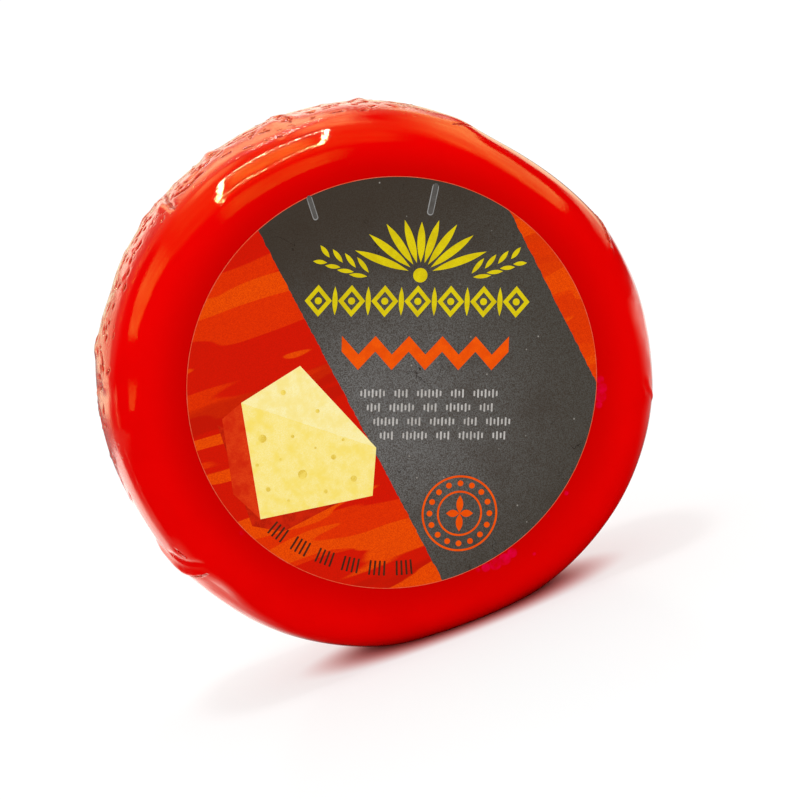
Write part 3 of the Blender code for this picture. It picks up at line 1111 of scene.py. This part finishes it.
def glowing(name, strength, colour, soft=None):
    # a glow that fades out over a share of the card along each side, with broad streaks
    material = bpy.data.materials.new(name)
    material.use_nodes = True
    tree = material.node_tree
    tree.nodes.clear()
    glow = addNode(tree, "ShaderNodeEmission", Color=colour, Strength=strength)
    end = tree.nodes.new("ShaderNodeOutputMaterial")
    both = tree.nodes.new("ShaderNodeAddShader")
    tree.links.new(glow.outputs["Emission"], both.inputs[0])
    tree.links.new(tree.nodes.new("ShaderNodeBsdfTransparent").outputs["BSDF"], both.inputs[1])
    tree.links.new(both.outputs["Shader"], end.inputs["Surface"])
    if soft:
        place = addNode(tree, "ShaderNodeTexCoord").outputs["UV"]
        sides = addNode(tree, "ShaderNodeSeparateXYZ")
        tree.links.new(place, sides.inputs["Vector"])
        streaks = maths(tree, "ADD", maths(tree, "MULTIPLY", grain(tree, place, 5, 0.3, 0.7), 0.6), 0.7)
        level = maths(tree, "MULTIPLY", streaks, strength)
        for axis, share in zip("XY", soft):
            middle = maths(tree, "ABSOLUTE", maths(tree, "SUBTRACT", sides.outputs[axis], 0.5))
            level = maths(tree, "MULTIPLY", level, within(tree, middle, 0.5 - share, 0.5))
        tree.links.new(level, glow.inputs["Strength"])
    return material


def onlyReflected(made):
    made.visible_camera = False
    made.visible_diffuse = False
    made.visible_shadow = False


def card(name, x, y, z, material, turn=0):
    # a glowing card that only reflections see, given by its ranges along the axes, then turned in place
    startFresh()
    low, high = Vector((x[0], y[0], z[0])), Vector((x[1], y[1], z[1]))
    standing = y[0] == y[1]
    turned = (math.radians(90 if standing else 0), 0, math.radians(turn))
    bpy.ops.mesh.primitive_plane_add(size=1, location=(low + high) / 2, rotation=turned)
    made = bpy.context.object
    made.name = name
    size = high - low
    made.scale = (size.x, size.z if standing else size.y, 1)
    bpy.ops.object.transform_apply(location=False, rotation=False, scale=True)
    made.data.materials.append(material)
    onlyReflected(made)


floorSheet = {
    "size": 60, "glow": 0.6, "glowFrom": 6 * mm, "glowTo": 14 * mm,
    "footShift": 3.5 * mm, "footShare": 0.43,  # shift along Y, and squeeze along X
    # the red and red glow at the foot are a painted contact shadow and painted red bounce light
    "white": (0.36, 0.37, 0.37, 1), "red": (0.5, 0.12, 0.11, 1), "redBounceGlow": (1.0, 0.35, 0.33, 1),
    "gloss": 0.12, "glossRoughness": 0.22, "glossFrom": 0.05, "glossTo": 0.16,
}


def makeFloor():
    # a white sheet, glossy only near the wheel; reflections see the floorShines instead
    sheet = floorSheet
    material, tree, shader = newMaterial("floorSheet", 0.5)
    shader.inputs["Specular IOR Level"].default_value = 0
    shader.inputs["Coat Roughness"].default_value = sheet["glossRoughness"]
    place = addNode(tree, "ShaderNodeTexCoord").outputs["Object"]
    # it glows so that shadows stay light, but not at the wheel's foot, where a painted dark red contact
    # shadow with painted red bounce light takes its place
    squeezed = addNode(tree, "ShaderNodeMapping", vector_type="POINT")
    squeezed.inputs["Location"].default_value = (0, sheet["footShift"], 0)
    squeezed.inputs["Scale"].default_value = (sheet["footShare"], 1, 1)
    tree.links.new(place, squeezed.inputs["Vector"])
    reach = addNode(tree, "ShaderNodeVectorMath", operation="LENGTH")
    tree.links.new(squeezed.outputs["Vector"], reach.inputs[0])
    foot = within(tree, reach.outputs["Value"], sheet["glowFrom"], sheet["glowTo"])
    glow = maths(tree, "MULTIPLY", maths(tree, "SUBTRACT", 1.0, foot), sheet["glow"])
    tree.links.new(glow, shader.inputs["Emission Strength"])
    glowColour = mixColours(tree, foot, (1.0, 1.0, 1.0, 1.0), sheet["redBounceGlow"])
    tree.links.new(glowColour, shader.inputs["Emission Color"])
    tree.links.new(mixColours(tree, foot, sheet["white"], sheet["red"]), shader.inputs["Base Color"])
    away = addNode(tree, "ShaderNodeVectorMath", operation="LENGTH")
    tree.links.new(place, away.inputs[0])
    near = within(tree, away.outputs["Value"], sheet["glossFrom"], sheet["glossTo"])
    tree.links.new(maths(tree, "MULTIPLY", near, sheet["gloss"]), shader.inputs["Coat Weight"])
    startFresh()
    bpy.ops.mesh.primitive_plane_add(size=sheet["size"])
    floor = bpy.context.object
    floor.name = "floor"
    floor.data.materials.append(material)
    floor.visible_glossy = False


def makeLight():
    scene = bpy.context.scene
    scene.view_settings.view_transform = "Standard"
    world = bpy.data.worlds.new("studio")
    scene.world = world
    world.use_nodes = True
    background = world.node_tree.nodes["Background"]
    background.inputs["Color"].default_value = (1, 1, 1, 1)
    background.inputs["Strength"].default_value = 1.0
    world.cycles_visibility.glossy = False
    # light from straight above, which draws the shadow's front edge
    data = bpy.data.lights.new("overhead", "SUN")
    data.energy = studio["sunStrength"] * math.pi
    data.angle = math.radians(studio["sunWidth"])
    sun = bpy.data.objects.new("overhead", data)
    scene.collection.objects.link(sun)
    sun.visible_glossy = False

    # the studio as the wax shows it: a framed softbox overhead, and cards behind it and to both sides
    for name, x, y, z, strength, blue in studioCards:
        card(name, x, y, (z, z), glowing(name, strength, (1, 1, blue, 1), studio["cardsFade"]))
    for step, (name, x, y, turn, strength, soft) in enumerate(floorShines):
        z = studio["shineStep"] * (step + 1)
        card(name, x, y, (z, z), glowing(name, strength, studioColours["white"], soft), turn)
    for name, x, z, strength, blue, soft in backdrops:
        y = studio["backdropPlace"]
        card(name, x, (y, y), z, glowing(name, strength, (1, 1, blue, 1), soft))
    glow = glowing("softboxEdge", studio["edgeGlow"], studioColours["edge"])
    for width, path in softboxEdges:
        for first, second in zip(path, path[1:]):
            edgeStrip(first, second, width, glow)


def edgeStrip(first, second, width, glow):
    # one bright edge of the softbox, between two places on the ceiling
    startFresh()
    height = ceiling - studio["edgeDrop"]
    first, second = Vector((*first, height)), Vector((*second, height))
    along = second - first
    bpy.ops.mesh.primitive_plane_add(
        size=1, location=(first + second) / 2, rotation=(0, 0, math.atan2(along.y, along.x)))
    strip = bpy.context.object
    strip.name = "softboxEdge"
    strip.scale = (along.length + width * 0.6, width, 1)
    bpy.ops.object.transform_apply(location=False, rotation=False, scale=True)
    strip.data.materials.append(glow)
    onlyReflected(strip)


wheel = turnedWheel()
settleWheel(wheel)
wheel.data.materials.append(waxMaterial())
startFresh()
wheel.select_set(True)
bpy.context.view_layer.objects.active = wheel
bpy.ops.object.shade_smooth()
print("wheel", len(wheel.data.polygons), "faces")

label = makeLabel()
print("label set on the wheel")
prints = makePrint()
print("label printed in", len(prints), "pieces")

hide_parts("wax_wheel")
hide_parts("face_label")
for piece in [wheel, label] + prints:
    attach(piece, "root")

makeFloor()
makeLight()
makeCamera()
print("floor, light and camera")
